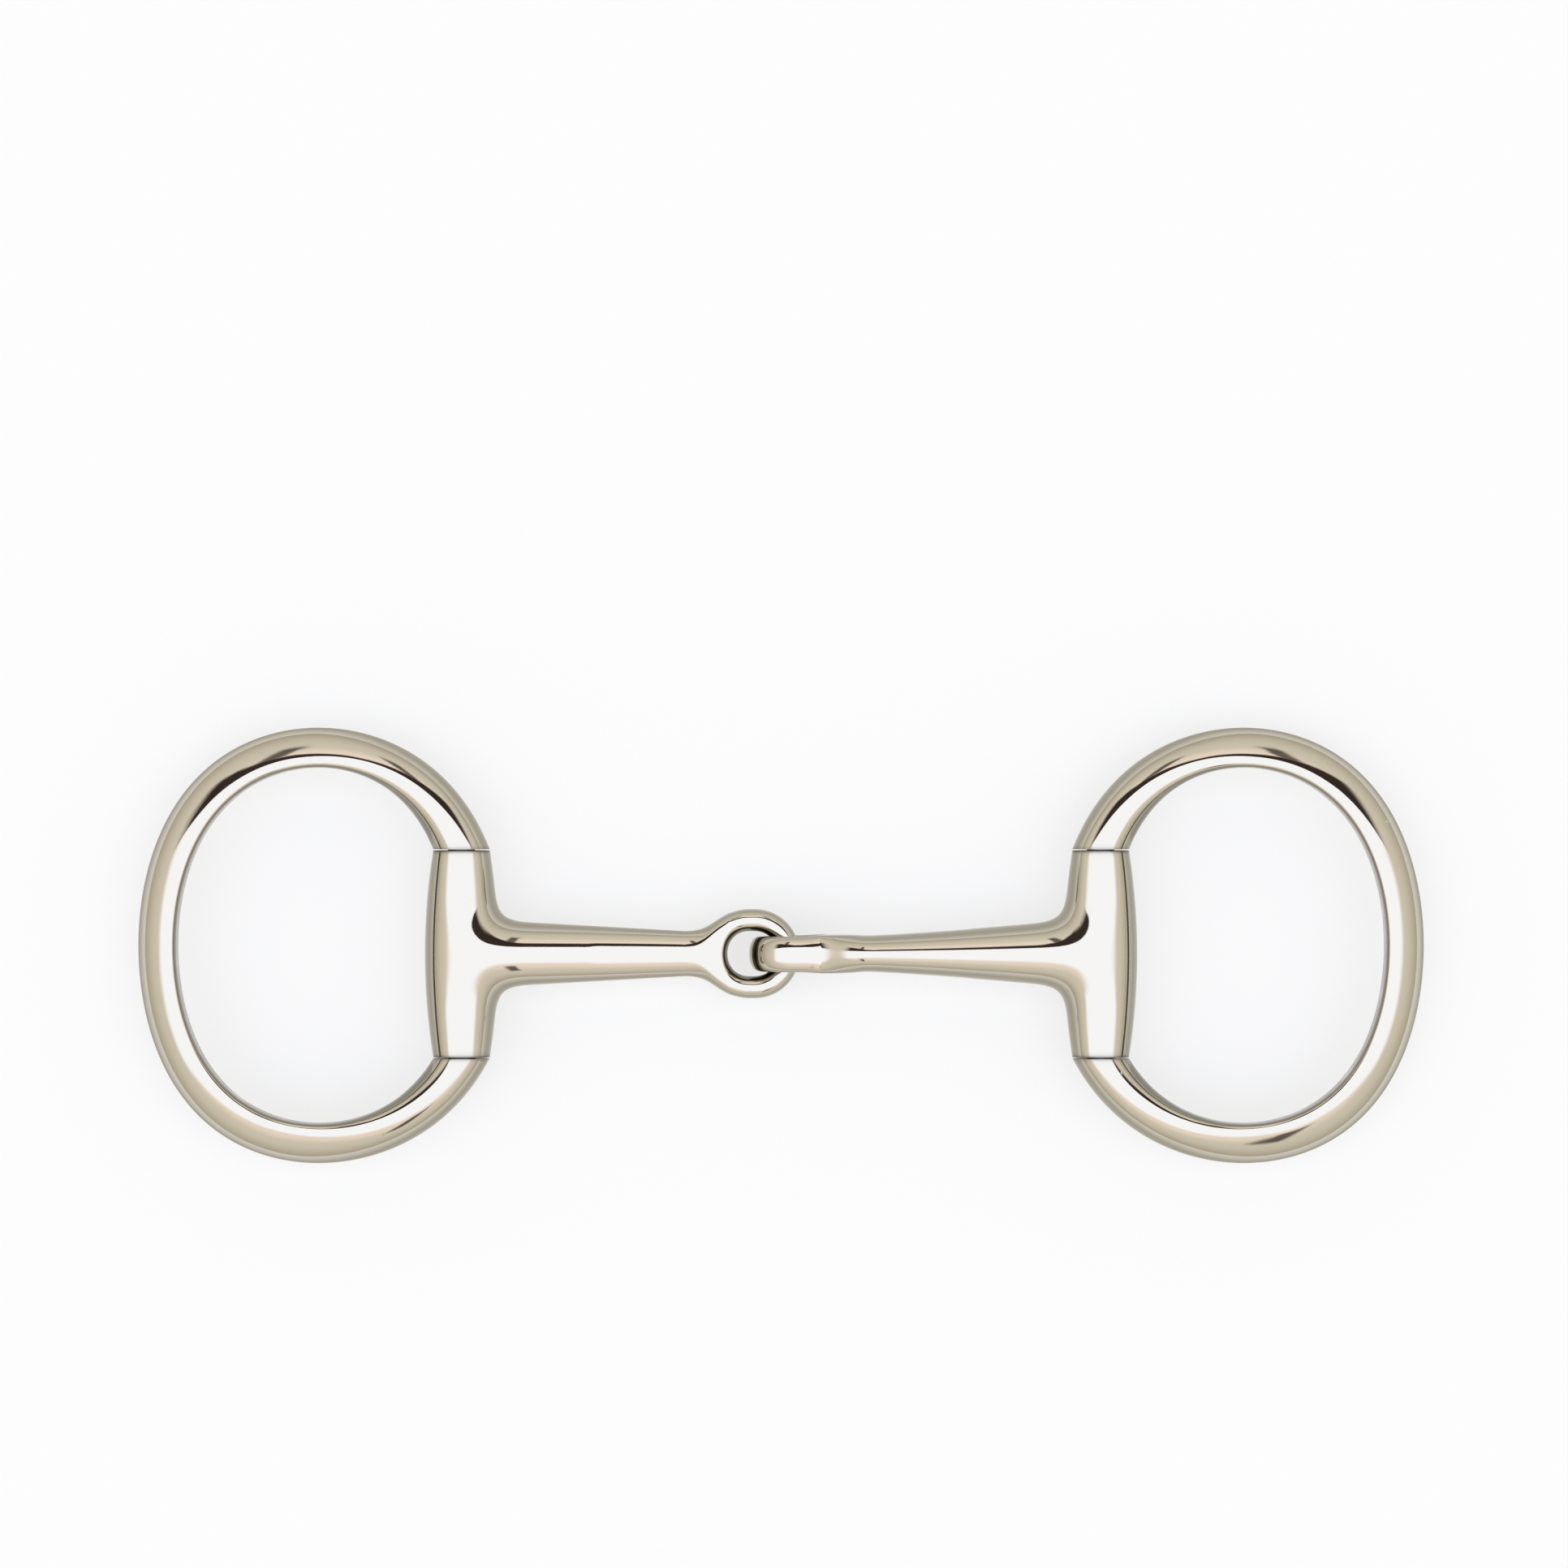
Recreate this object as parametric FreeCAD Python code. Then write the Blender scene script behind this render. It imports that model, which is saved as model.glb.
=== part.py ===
"""Single-jointed eggbutt snaffle bit, in millimetres.

The bit lies flat on a table: X runs from the left cheek ring to the right one, Y runs along the
barrels that the rings swing on, and Z is up. The origin is on the table, under the middle of the bit.

Six pieces: two mouthpiece halves linked by their eyes, two cheek rings, and the pin each ring swings on.
"""

import FreeCAD, Part
import math
import os

from FreeCAD import Vector

# Mouthpiece halves: from the axis of the barrel to the middle of the eye's round end.
LEFT_ARM = 64.0
RIGHT_ARM = 66.9

# Eye at the end of each half: a slotted loop of oval bar. Slack is the play between the two bars.
EYE_OUTER_RADIUS = 9.75
EYE_HOLE_RADIUS = 4.9
EYE_STRAIGHT = 1.3
EYE_DEPTH = 8.3
EYE_SLACK = 1.3

# Cannon: an oval cone from the barrel to the neck behind the eye. "Flat" is the half size in the
# eye's plane, and "deep" is the half size across it.
CHEEK_FLAT = 7.7
CHEEK_DEEP = 7.6
NECK_FLAT = 4.95
NECK_DEEP = 4.05
NECK_FLARE_RADIUS = 13.0

# Barrel: the egg-shaped sleeve that the ring swings in.
BARREL_LENGTH = 45.0
BARREL_MID_RADIUS = 8.0
BARREL_END_RADIUS = 6.2
BARREL_FILLET = 4.5

# Cheek ring: an oval band, tallest at its crown. Reach is from the barrel's axis, and rise is how far
# the ring's own middle sits above the middle of the barrel.
RING_REACH = 70.5
RING_HALF_HEIGHT = 47.5
RING_CROWN = 31.2
RING_RISE = 1.8
RING_SQUARENESS = 0.45
BAND_AT_FAR_SIDE = 8.5
BAND_AT_CROWN = 8.75
BAND_HALF_DEPTH = 4.9
BAND_CREST_SHIFT = 0.4
SHOULDER_BLEND = 0.45

# Hinge pin and the clearances round it.
PIN_RADIUS = 3.0
PIN_SEAT_DEPTH = 3.5
PIN_RUNNING_GAP = 0.05
SHOULDER_GAP = 0.3

# How finely the lofted surfaces follow their rules.
RING_STATIONS = 41
SECTION_POINTS = 24
NECK_STATIONS = 9

# Places that follow from the sizes.
EYE_BAR = EYE_OUTER_RADIUS - EYE_HOLE_RADIUS
EYE_CREST_RADIUS = EYE_HOLE_RADIUS + EYE_BAR / 2
EYE_SPACING = 2 * EYE_HOLE_RADIUS - EYE_SLACK
BARREL_SPACING = LEFT_ARM + EYE_SPACING + RIGHT_ARM
SHOULDER_HEIGHT = BARREL_LENGTH / 2 + SHOULDER_GAP
BEYOND = 2 * RING_HALF_HEIGHT

X_AXIS = Vector(1, 0, 0)
Y_AXIS = Vector(0, 1, 0)
Z_AXIS = Vector(0, 0, 1)
ORIGIN = Vector(0, 0, 0)


def smooth_step(value, low, high):
    """0 below low, 1 above high, and a smooth rise between."""
    share = min(1.0, max(0.0, (value - low) / (high - low)))
    return share * share * (3 - 2 * share)


def closed_wire(points):
    """A smooth closed wire through an even count of points, as two edges of equal point counts."""
    half = len(points) // 2
    edges = []
    for start in (0, half):
        run = [points[(start + i) % len(points)] for i in range(-1, half + 2)]
        curve = Part.BSplineCurve()
        curve.interpolate(
            Points=run[1:-1],
            Parameters=[i / half for i in range(half + 1)],
            InitialTangent=(run[2] - run[0]) * (half / 2),
            FinalTangent=(run[-1] - run[-3]) * (half / 2),
        )
        edges.append(curve.toShape())
    return Part.Wire(edges)


def cylinder_along_y(radius, low_y, high_y):
    """A solid cylinder on the Y axis."""
    return Part.makeCylinder(radius, high_y - low_y, Vector(0, low_y, 0), Y_AXIS)


# Cheek ring


def oval_rule(reach, half_height, shoulder_u, shoulder_v):
    """One half of an oval that passes through its far point, its crown and its shoulder.

    Returns a function from t, 0 at the far point to 1 at the shoulder, to (u, v), where u is the
    distance from the barrel's axis and v the height above the far point.
    """
    q = RING_SQUARENESS
    low, high = math.pi / 2, math.pi
    for _ in range(60):
        angle = (low + high) / 2
        if (half_height + q) * math.sin(angle) + q * math.sin(3 * angle) > shoulder_v:
            low = angle
        else:
            high = angle
    end = (low + high) / 2
    cosine = math.cos(end)
    far = reach - RING_CROWN
    near = shoulder_u - RING_CROWN - q * (cosine - math.cos(3 * end))
    skew = (near - far * cosine) / (cosine * cosine - cosine)
    middle = far - skew

    def point(t):
        a = t * end
        c = math.cos(a)
        u = RING_CROWN + (middle + skew * c) * c + q * (c - math.cos(3 * a))
        v = (half_height + q) * math.sin(a) + q * math.sin(3 * a)
        return u, v

    return point


def ring_section(t):
    """The ring's section at t, from -1 at the lower shoulder to 1 at the upper one, as a closed wire.

    The section is round at the shoulders. Elsewhere its crest moves towards the opening, which
    leaves a flat inner wall and a long outer slope.
    """
    side = 1 if t >= 0 else -1
    shoulder_v = SHOULDER_HEIGHT - side * RING_RISE
    outer = oval_rule(RING_REACH, RING_HALF_HEIGHT, -BARREL_END_RADIUS, shoulder_v)
    inner = oval_rule(
        RING_REACH - BAND_AT_FAR_SIDE, RING_HALF_HEIGHT - BAND_AT_CROWN, BARREL_END_RADIUS, shoulder_v
    )
    outer_u, outer_v = outer(abs(t))
    inner_u, inner_v = inner(abs(t))
    out_point = Vector(outer_u, side * outer_v, 0)
    in_point = Vector(inner_u, side * inner_v, 0)
    centre = (out_point + in_point) * 0.5
    across = (out_point - in_point) * 0.5
    to_shoulder = smooth_step(abs(t), 1 - SHOULDER_BLEND, 1)
    half_depth = BAND_HALF_DEPTH + (BARREL_END_RADIUS - BAND_HALF_DEPTH) * to_shoulder
    crest_shift = BAND_CREST_SHIFT * (1 - to_shoulder)
    points = []
    for i in range(SECTION_POINTS):
        a = math.pi / 2 + 2 * math.pi * i / SECTION_POINTS
        sideways = math.cos(a) - crest_shift * math.sin(a) ** 2
        points.append(centre + across * sideways + Z_AXIS * (half_depth * math.sin(a)))
    return closed_wire(points)


def ring_blank():
    """The ring before it is drilled. The barrel's middle is at the origin and the ring reaches to +X."""
    stations = [2 * i / (RING_STATIONS - 1) - 1 for i in range(RING_STATIONS)]
    blank = Part.makeLoft([ring_section(t) for t in stations], True)
    blank.translate(Y_AXIS * RING_RISE)
    return blank


def ring_and_pin():
    """A drilled ring and its pin, in the blank's frame.

    The pin is pushed down through the upper shoulder and the barrel into a blind seat in the lower
    shoulder, and its head end is finished flush with the ring.
    """
    blank = ring_blank()
    seat_y = -SHOULDER_HEIGHT - PIN_SEAT_DEPTH
    drill = cylinder_along_y(PIN_RADIUS, seat_y, BEYOND)
    head = cylinder_along_y(PIN_RADIUS, SHOULDER_HEIGHT, BEYOND).common(blank)
    shank = cylinder_along_y(PIN_RADIUS, seat_y, SHOULDER_HEIGHT)
    return blank.cut(drill), shank.fuse(head).removeSplitter()


# Mouthpiece half, with x from the barrel's axis towards the eye, and the eye in the XY plane


def oval_wire(x, flat, deep):
    """A closed ellipse across X, with flat as its half size in Y and the smaller deep in Z."""
    centre = X_AXIS * x
    oval = Part.Ellipse(centre + Y_AXIS * flat, centre + Z_AXIS * deep, centre)
    return Part.Wire([oval.toShape()])


def neck_run():
    """From the centre of the slot's inner end to where the neck's flare begins."""
    return math.sqrt(
        (EYE_OUTER_RADIUS + NECK_FLARE_RADIUS) ** 2 - (NECK_FLAT + NECK_FLARE_RADIUS) ** 2
    )


def neck(length):
    """The flare that joins the cannon to the eye.

    Its outline is an arc that is tangent to the neck and to the circle round the slot's inner end.
    """
    run = neck_run()
    tangent = run * EYE_OUTER_RADIUS / (EYE_OUTER_RADIUS + NECK_FLARE_RADIUS)
    wires = []
    for i in range(NECK_STATIONS):
        distance = run + (tangent - run) * i / (NECK_STATIONS - 1)
        sag = math.sqrt(NECK_FLARE_RADIUS**2 - (run - distance) ** 2)
        width = NECK_FLAT + NECK_FLARE_RADIUS - sag
        x = length - EYE_STRAIGHT - distance
        wires.append(oval_wire(x, width, NECK_DEEP))
    return Part.makeLoft(wires, True)


def cannon(length):
    """The oval cone from the barrel's axis to the neck."""
    ends = [
        oval_wire(0, CHEEK_FLAT, CHEEK_DEEP),
        oval_wire(length - EYE_STRAIGHT - neck_run(), NECK_FLAT, NECK_DEEP),
    ]
    return Part.makeLoft(ends, True, True)


def slot_prism(length, radius, half_height):
    """The slot's outline at a radius, as a prism through the eye."""
    ends = [
        Part.makeCylinder(radius, 2 * half_height, Vector(x, 0, -half_height), Z_AXIS)
        for x in (length - EYE_STRAIGHT, length)
    ]
    middle = Part.makeBox(
        EYE_STRAIGHT, 2 * radius, 2 * half_height, Vector(length - EYE_STRAIGHT, -radius, -half_height)
    )
    return ends[0].fuse(ends[1]).fuse(middle).removeSplitter()


def eye_loop(length):
    """The loop of oval bar: two half rings and the two short straights between them."""
    bar_depth, bar_width = EYE_DEPTH / 2, EYE_BAR / 2
    pieces = []
    for side in (1, -1):
        centre = Vector(length, side * EYE_CREST_RADIUS, 0)
        oval = Part.Ellipse(centre + Z_AXIS * bar_depth, centre + Y_AXIS * bar_width, centre)
        face = Part.Face(Part.Wire([oval.toShape()]))
        pieces.append(face.extrude(Vector(-EYE_STRAIGHT, 0, 0)))
        middle_x = length if side > 0 else length - EYE_STRAIGHT
        turned = face if side > 0 else face.translated(Vector(-EYE_STRAIGHT, 0, 0))
        pieces.append(turned.revolve(Vector(middle_x, 0, 0), Z_AXIS, -180))
    return pieces[0].multiFuse(pieces[1:]).removeSplitter()


def barrel():
    """The barrel on the Y axis, before it is bored."""
    half = BARREL_LENGTH / 2
    bottom, middle, top = (
        Vector(BARREL_END_RADIUS, -half, 0),
        Vector(BARREL_MID_RADIUS, 0, 0),
        Vector(BARREL_END_RADIUS, half, 0),
    )
    outline = Part.Wire(
        [
            Part.makeLine(Vector(0, -half, 0), bottom),
            Part.Arc(bottom, middle, top).toShape(),
            Part.makeLine(top, Vector(0, half, 0)),
            Part.makeLine(Vector(0, half, 0), Vector(0, -half, 0)),
        ]
    )
    return Part.Face(outline).revolve(ORIGIN, Y_AXIS, 360)


def mouthpiece(length, eye_turn):
    """One half of the mouthpiece, with its barrel at the origin and its eye towards +X.

    eye_turn turns the cannon and the eye about X, in degrees.
    """
    shaft = cannon(length)
    shaft.rotate(ORIGIN, X_AXIS, eye_turn)
    tee = barrel().fuse(shaft)
    joins = [e for e in tee.Edges if e.BoundBox.XMin > 0 and e.BoundBox.ZLength > PIN_RADIUS]
    joins = [e for e in joins if e.BoundBox.XMax < 2 * BARREL_MID_RADIUS]
    tee = tee.makeFillet(BARREL_FILLET, joins)
    flare = neck(length).cut(slot_prism(length, EYE_CREST_RADIUS, EYE_OUTER_RADIUS))
    eye = eye_loop(length).fuse(flare)
    eye.rotate(ORIGIN, X_AXIS, eye_turn)
    bore = cylinder_along_y(PIN_RADIUS + PIN_RUNNING_GAP, -BARREL_LENGTH, BARREL_LENGTH)
    return tee.fuse(eye).cut(bore).removeSplitter()


# Assembly


def turned_over(shape):
    """A copy of a shape that reaches to -X instead of +X."""
    copy = shape.copy()
    copy.rotate(ORIGIN, Y_AXIS, 180)
    return copy


def placed(shape, side):
    """A copy of a shape, at the left cheek for side -1 and at the right one for side 1."""
    copy = shape.copy()
    copy.translate(Vector(side * BARREL_SPACING / 2, -RING_RISE, EYE_OUTER_RADIUS))
    return copy


def main():
    ring, pin = ring_and_pin()
    pieces = {
        "left_mouthpiece": placed(mouthpiece(LEFT_ARM, 0), -1),
        "right_mouthpiece": placed(turned_over(mouthpiece(RIGHT_ARM, 90)), 1),
        "left_ring": placed(turned_over(ring), -1),
        "left_hinge_pin": placed(turned_over(pin), -1),
        "right_ring": placed(ring, 1),
        "right_hinge_pin": placed(pin, 1),
    }
    os.makedirs("parts", exist_ok=True)
    for name, shape in pieces.items():
        solid = shape.Solids[0]
        solid.exportStep("parts/" + name + ".step")


main()
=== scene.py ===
"""Polished eggbutt snaffle bit: two linked mouthpiece halves and two cheek rings on hinge pins."""

import logging
import math
from dataclasses import dataclass
from enum import Enum
from typing import Optional, Union

import bmesh
import bpy
import numpy as np
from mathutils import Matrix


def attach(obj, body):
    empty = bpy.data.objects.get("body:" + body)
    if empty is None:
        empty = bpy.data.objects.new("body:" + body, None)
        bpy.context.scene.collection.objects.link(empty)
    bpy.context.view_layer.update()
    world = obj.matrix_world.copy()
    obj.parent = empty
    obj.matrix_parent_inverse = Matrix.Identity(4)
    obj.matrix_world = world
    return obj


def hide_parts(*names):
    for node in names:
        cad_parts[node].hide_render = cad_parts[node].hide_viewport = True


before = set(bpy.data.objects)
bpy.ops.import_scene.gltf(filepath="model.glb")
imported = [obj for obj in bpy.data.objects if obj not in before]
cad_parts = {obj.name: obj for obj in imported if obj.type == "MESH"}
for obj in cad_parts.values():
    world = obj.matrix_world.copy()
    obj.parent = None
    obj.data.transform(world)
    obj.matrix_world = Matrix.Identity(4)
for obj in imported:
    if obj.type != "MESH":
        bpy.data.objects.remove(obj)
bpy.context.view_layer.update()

LOG = logging.getLogger("snaffle")
MM = 0.001
DEGREES = 180 / math.pi
# How far the painted shade and grime reach from the shoulder gaps.
GAP_SHADE_AND_GRIME_REACH_MM = 0.3
TUBE_POINTS = 32
Number = Union[float, "Term"]
Colour = tuple[float, float, float]
ColourInput = Union[Colour, bpy.types.NodeSocket]


class Side(Enum):
    """Which cheek a piece belongs to; the value is the sign of its X."""

    LEFT = -1
    RIGHT = 1


class EyePlane(Enum):
    """How the eye of a mouthpiece half is turned about its cannon."""

    LYING = "lying"
    STANDING = "standing"


@dataclass
class Term:
    """A number socket of a node tree, with ordinary arithmetic that adds Math nodes."""

    tree: bpy.types.NodeTree
    socket: bpy.types.NodeSocket

    def maths(self, operation: str, *others: Number) -> "Term":
        """Add one Math node.

        Args:
            operation: The Math node's operation.
            others: The operands after this one.

        Returns:
            The node's result.
        """
        node = self.tree.nodes.new("ShaderNodeMath")
        node.operation = operation
        for slot, value in zip(node.inputs, (self, *others)):
            if isinstance(value, Term):
                self.tree.links.new(value.socket, slot)
            else:
                slot.default_value = value
        return Term(self.tree, node.outputs[0])

    def __add__(self, other: Number) -> "Term":
        """This plus other."""
        return self.maths("ADD", other)

    def __sub__(self, other: Number) -> "Term":
        """This minus other."""
        return self.maths("SUBTRACT", other)

    def __rsub__(self, other: float) -> "Term":
        """Other minus this."""
        return (self * -1.0) + other

    def __mul__(self, other: Number) -> "Term":
        """This times other."""
        return self.maths("MULTIPLY", other)

    def __truediv__(self, other: Number) -> "Term":
        """This over other."""
        return self.maths("DIVIDE", other)

    def mix(self, low: Number, high: Number) -> "Term":
        """Blend from low, where this is 0, to high, where this is 1."""
        gap = high - low if isinstance(high, Term) else (low - high) * -1.0
        return self * gap + low

    def ramp(self, low: Number, high: Number) -> "Term":
        """A smooth rise from 0 at low to 1 at high.

        Args:
            low: Where the rise starts.
            high: Where the rise ends. If it is below low, the result falls instead.

        Returns:
            The result, from 0 to 1.
        """
        node = self.tree.nodes.new("ShaderNodeMapRange")
        node.interpolation_type = "SMOOTHSTEP"
        for slot, value in ((0, self), (1, low), (2, high)):
            if isinstance(value, Term):
                self.tree.links.new(value.socket, node.inputs[slot])
            else:
                node.inputs[slot].default_value = value
        return Term(self.tree, node.outputs[0])


def bake(piece: bpy.types.Object) -> None:
    """Turn a piece's evaluated geometry into its plain mesh and drop its modifiers.

    Args:
        piece: The object to bake.
    """
    graph = bpy.context.evaluated_depsgraph_get()
    mesh = bpy.data.meshes.new_from_object(piece.evaluated_get(graph), depsgraph=graph)
    mesh.name = piece.name
    piece.modifiers.clear()
    piece.data = mesh


def new_piece(name: str, mesh: bpy.types.Mesh) -> bpy.types.Object:
    """Make an object for a mesh and put it in the scene.

    Args:
        name: The object's name.
        mesh: Its mesh.

    Returns:
        The object, at the origin.
    """
    piece = bpy.data.objects.new(name, mesh)
    bpy.context.scene.collection.objects.link(piece)
    return piece


def mixed(tree: bpy.types.NodeTree, share: Term, low: ColourInput, high: ColourInput) -> bpy.types.NodeSocket:
    """Mix two colours.

    Args:
        tree: The tree.
        share: 0 for low and 1 for high.
        low: A colour or a socket.
        high: A colour or a socket.

    Returns:
        The mixed colour.
    """
    node = tree.nodes.new("ShaderNodeMix")
    node.data_type = "RGBA"
    node.clamp_factor = True
    tree.links.new(share.socket, node.inputs["Factor"])
    for slot, value in ((6, low), (7, high)):
        if isinstance(value, tuple):
            node.inputs[slot].default_value = (*value, 1.0)
        else:
            tree.links.new(value, node.inputs[slot])
    return node.outputs[2]


def places_of(mesh: bpy.types.Mesh) -> np.ndarray:
    """Read where a mesh's vertices are.

    Args:
        mesh: The mesh.

    Returns:
        A row for each vertex.
    """
    places = np.empty(len(mesh.vertices) * 3)
    mesh.vertices.foreach_get("co", places)
    return places.reshape(-1, 3)


def store_shade_and_grime(mesh: bpy.types.Mesh, amount: np.ndarray) -> None:
    """Write the mesh attribute that says where the metal is painted dark: painted shade in gaps and hollows, broken up
    like grime.

    Args:
        mesh: The piece's mesh.
        amount: 0 for unshaded and clean and 1 for fully darkened, a number for each vertex.
    """
    layer = mesh.attributes.new("shade_and_grime", "FLOAT", "POINT")
    layer.data.foreach_set("value", amount.astype(np.float32))


@dataclass(frozen=True)
class PolishedMetal:
    """Hand-buffed nickel metal: a mirror with slow waves, fine buffing lines and pits, with painted shade on its steep
    sides and painted shade with grime in its gaps and hollows.
    """

    name: str
    tint: Colour = (0.655, 0.615, 0.54)
    # Painted shade: the darker colour that the steep sides are given.
    side_shade_tint: Colour = (0.345, 0.312, 0.238)
    # The near-black of the painted shade and grime in the gaps and hollows.
    shade_and_grime_tint: Colour = (0.03, 0.022, 0.015)
    roughness: float = 0.04
    wave_height_mm: float = 0.022
    wave_length_mm: float = 9.0
    cloud_scale: float = 160.0
    buff_scale: float = 9000.0
    buff_height_mm: float = 0.0006
    pit_depth_mm: float = 0.03
    pit_spacing_mm: float = 7.0

    def build(self) -> bpy.types.Material:
        """Make the material.

        Returns:
            The material, on Object coordinates, the object-space normal and the mesh attribute of painted shade and
            grime.
        """
        material = bpy.data.materials.new(self.name)
        material.use_nodes = True
        tree = material.node_tree
        shader = tree.nodes["Principled BSDF"]
        shader.inputs["Metallic"].default_value = 1.0
        place = tree.nodes.new("ShaderNodeTexCoord").outputs["Object"]
        waves = self.noise(tree, place, 1000.0 / self.wave_length_mm, 1.5)
        cloud = self.noise(tree, place, self.cloud_scale, 3.0)
        buffing = self.noise(tree, place, self.buff_scale, 4.0)
        pits = self.pits(tree, place)
        # Painted shade with grime: the vertex attribute, broken up by the cloud noise, darkens the metal towards a
        # near-black tint in the gaps and hollows and makes it rougher.
        shade_and_grime = tree.nodes.new("ShaderNodeAttribute")
        shade_and_grime.attribute_name = "shade_and_grime"
        shade_and_dirt = Term(tree, shade_and_grime.outputs["Fac"]) * cloud.ramp(0.15, 0.45)
        # Painted shade: the base colour darkens from the upward faces to the steep sides by the object-space normal,
        # in place of the dimmer surroundings that the sides reflect.
        facing = tree.nodes.new("ShaderNodeSeparateXYZ")
        tree.links.new(tree.nodes.new("ShaderNodeTexCoord").outputs["Normal"], facing.inputs[0])
        faces_up_share = Term(tree, facing.outputs[2]).maths("ABSOLUTE").ramp(0.5, 0.8)
        skin = mixed(tree, faces_up_share, self.side_shade_tint, self.tint)
        skin = mixed(tree, shade_and_dirt.maths("MINIMUM", 1.0), skin, self.shade_and_grime_tint)
        tree.links.new(skin, shader.inputs["Base Color"])
        rough = cloud.ramp(0.35, 0.75) * 0.035 + self.roughness + shade_and_dirt * 0.35 + pits * 0.3
        tree.links.new(rough.socket, shader.inputs["Roughness"])
        normal = self.bump(tree, waves, self.wave_height_mm, None)
        normal = self.bump(tree, buffing, self.buff_height_mm, normal)
        normal = self.bump(tree, pits * -1.0, self.pit_depth_mm, normal)
        tree.links.new(normal, shader.inputs["Normal"])
        return material

    @staticmethod
    def noise(tree: bpy.types.NodeTree, place: bpy.types.NodeSocket, scale: float, detail: float) -> Term:
        """Add a noise pattern.

        Args:
            tree: The material's tree.
            place: The coordinates it follows.
            scale: Waves per metre.
            detail: Octaves.

        Returns:
            The pattern, about 0 to 1.
        """
        node = tree.nodes.new("ShaderNodeTexNoise")
        node.inputs["Scale"].default_value = scale
        node.inputs["Detail"].default_value = detail
        tree.links.new(place, node.inputs["Vector"])
        return Term(tree, node.outputs["Fac"])

    def pits(self, tree: bpy.types.NodeTree, place: bpy.types.NodeSocket) -> Term:
        """Add the few small casting pits that polishing leaves.

        Args:
            tree: The material's tree.
            place: The coordinates they follow.

        Returns:
            1 in a pit and 0 elsewhere.
        """
        node = tree.nodes.new("ShaderNodeTexVoronoi")
        node.inputs["Scale"].default_value = 1000.0 / self.pit_spacing_mm
        tree.links.new(place, node.inputs["Vector"])
        spot = Term(tree, node.outputs["Distance"]).ramp(0.055, 0.025)
        chosen = tree.nodes.new("ShaderNodeSeparateColor")
        tree.links.new(node.outputs["Color"], chosen.inputs[0])
        return spot * Term(tree, chosen.outputs[0]).ramp(0.55, 0.6)

    @staticmethod
    def bump(
        tree: bpy.types.NodeTree, height: Term, depth_mm: float, below: Optional[bpy.types.NodeSocket]
    ) -> bpy.types.NodeSocket:
        """Add a layer of bump.

        Args:
            tree: The material's tree.
            height: The pattern.
            depth_mm: How far it rises.
            below: The normal of the layer under it.

        Returns:
            The new normal.
        """
        node = tree.nodes.new("ShaderNodeBump")
        node.inputs["Distance"].default_value = depth_mm * MM
        tree.links.new(height.socket, node.inputs["Height"])
        if below is not None:
            tree.links.new(below, node.inputs["Normal"])
        return node.outputs["Normal"]


@dataclass
class Barrel:
    """The sizes and places that the halves, the rings and the pins share, in millimetres."""

    length: float = 45.0
    middle_radius: float = 8.0
    end_radius: float = 6.2
    shoulder_gap: float = 0.3
    pin_radius: float = 3.0
    running_gap: float = 0.05
    spacing: float = 139.4
    axis_y: float = -1.8
    axis_z: float = 9.75

    def axis_x(self, side: Side) -> float:
        """The X of a side's barrel axis."""
        return side.value * self.spacing / 2


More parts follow.
